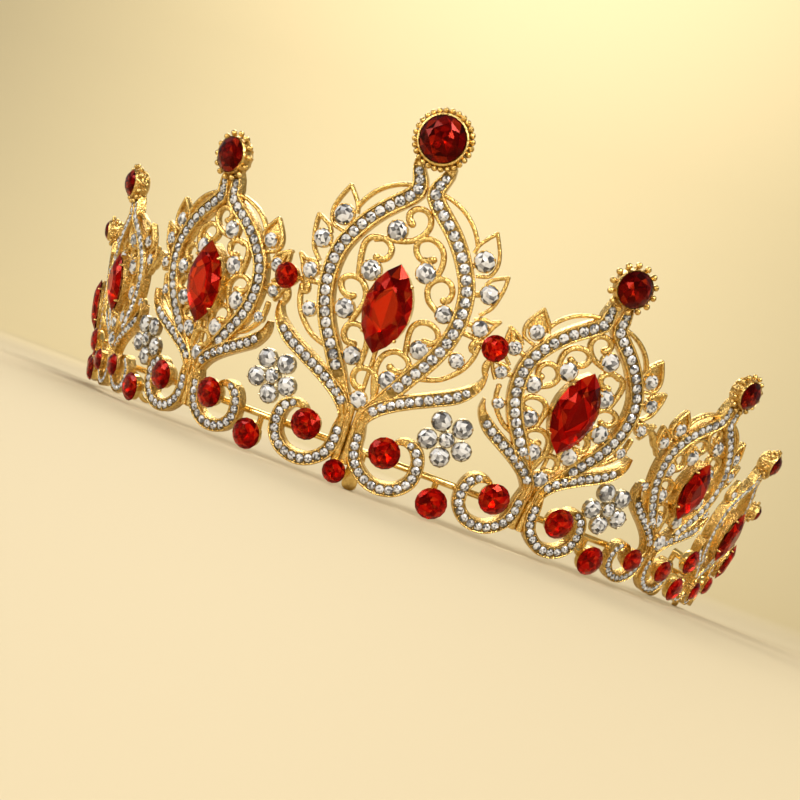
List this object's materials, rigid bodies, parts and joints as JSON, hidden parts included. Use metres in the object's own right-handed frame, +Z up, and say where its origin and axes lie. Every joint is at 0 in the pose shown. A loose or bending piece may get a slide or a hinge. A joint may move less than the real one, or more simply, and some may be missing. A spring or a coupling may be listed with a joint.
{
  "type": "jewelled tiara",
  "caption": "Gold-tone openwork tiara of pointed leaf panels on a wire rail, set with red marquise and round stones and fine clear stones, worn on the head.",
  "frame": {"origin": "on the surface the tiara stands on, under the middle of its box", "axes": "+Z up, the front panel faces -Y, +X is the viewer's right, the wearer's head is towards +Y"},
  "size_m": [0.1594, 0.0904, 0.0646],
  "materials": {
    "gold_casting": "grainy bright gold plate",
    "gold_wire": "smooth gold plate",
    "red_stone": "cut, foil backed",
    "clear_stone": "cut, foil backed"
  },
  "bodies": {
    "root": {"end_loop_left": "gold_wire", "end_loop_right": "gold_wire", "finial_stone_centre": "red_stone", "finial_stone_left_1": "red_stone", "finial_stone_left_2": "red_stone", "finial_stone_left_3": "red_stone", "finial_stone_left_4": "red_stone", "finial_stone_right_1": "red_stone", "finial_stone_right_2": "red_stone", "finial_stone_right_3": "red_stone", "finial_stone_right_4": "red_stone", "flower_left_1": "clear_stone", "flower_left_2": "clear_stone", "flower_right_1": "clear_stone", "flower_right_2": "clear_stone", "foot_stone_centre": "red_stone", "marquise_centre": "red_stone", "marquise_left_1": "red_stone", "marquise_left_2": "red_stone", "marquise_left_3": "red_stone", "marquise_left_4": "red_stone", "marquise_right_1": "red_stone", "marquise_right_2": "red_stone", "marquise_right_3": "red_stone", "marquise_right_4": "red_stone", "panel_centre": "gold_casting", "panel_left_1": "gold_casting", "panel_left_2": "gold_casting", "panel_left_3": "gold_casting", "panel_left_4": "gold_casting", "panel_right_1": "gold_casting", "panel_right_2": "gold_casting", "panel_right_3": "gold_casting", "panel_right_4": "gold_casting", "rail": "gold_wire", "rail_stone_left_1": "red_stone", "rail_stone_left_2": "red_stone", "rail_stone_left_3": "red_stone", "rail_stone_left_3_upper": "red_stone", "rail_stone_left_4": "red_stone", "rail_stone_right_1": "red_stone", "rail_stone_right_2": "red_stone", "rail_stone_right_3": "red_stone", "rail_stone_right_3_upper": "red_stone", "rail_stone_right_4": "red_stone", "scroll_stone_centre_a": "red_stone", "scroll_stone_centre_b": "red_stone", "scroll_stone_left_1_a": "red_stone", "scroll_stone_left_1_b": "red_stone", "scroll_stone_left_2_a": "red_stone", "scroll_stone_left_2_b": "red_stone", "scroll_stone_left_3": "red_stone", "scroll_stone_right_1_a": "red_stone", "scroll_stone_right_1_b": "red_stone", "scroll_stone_right_2_a": "red_stone", "scroll_stone_right_2_b": "red_stone", "scroll_stone_right_3": "red_stone", "side_stone_left": "red_stone", "side_stone_right": "red_stone"}
  },
  "joints": []
}
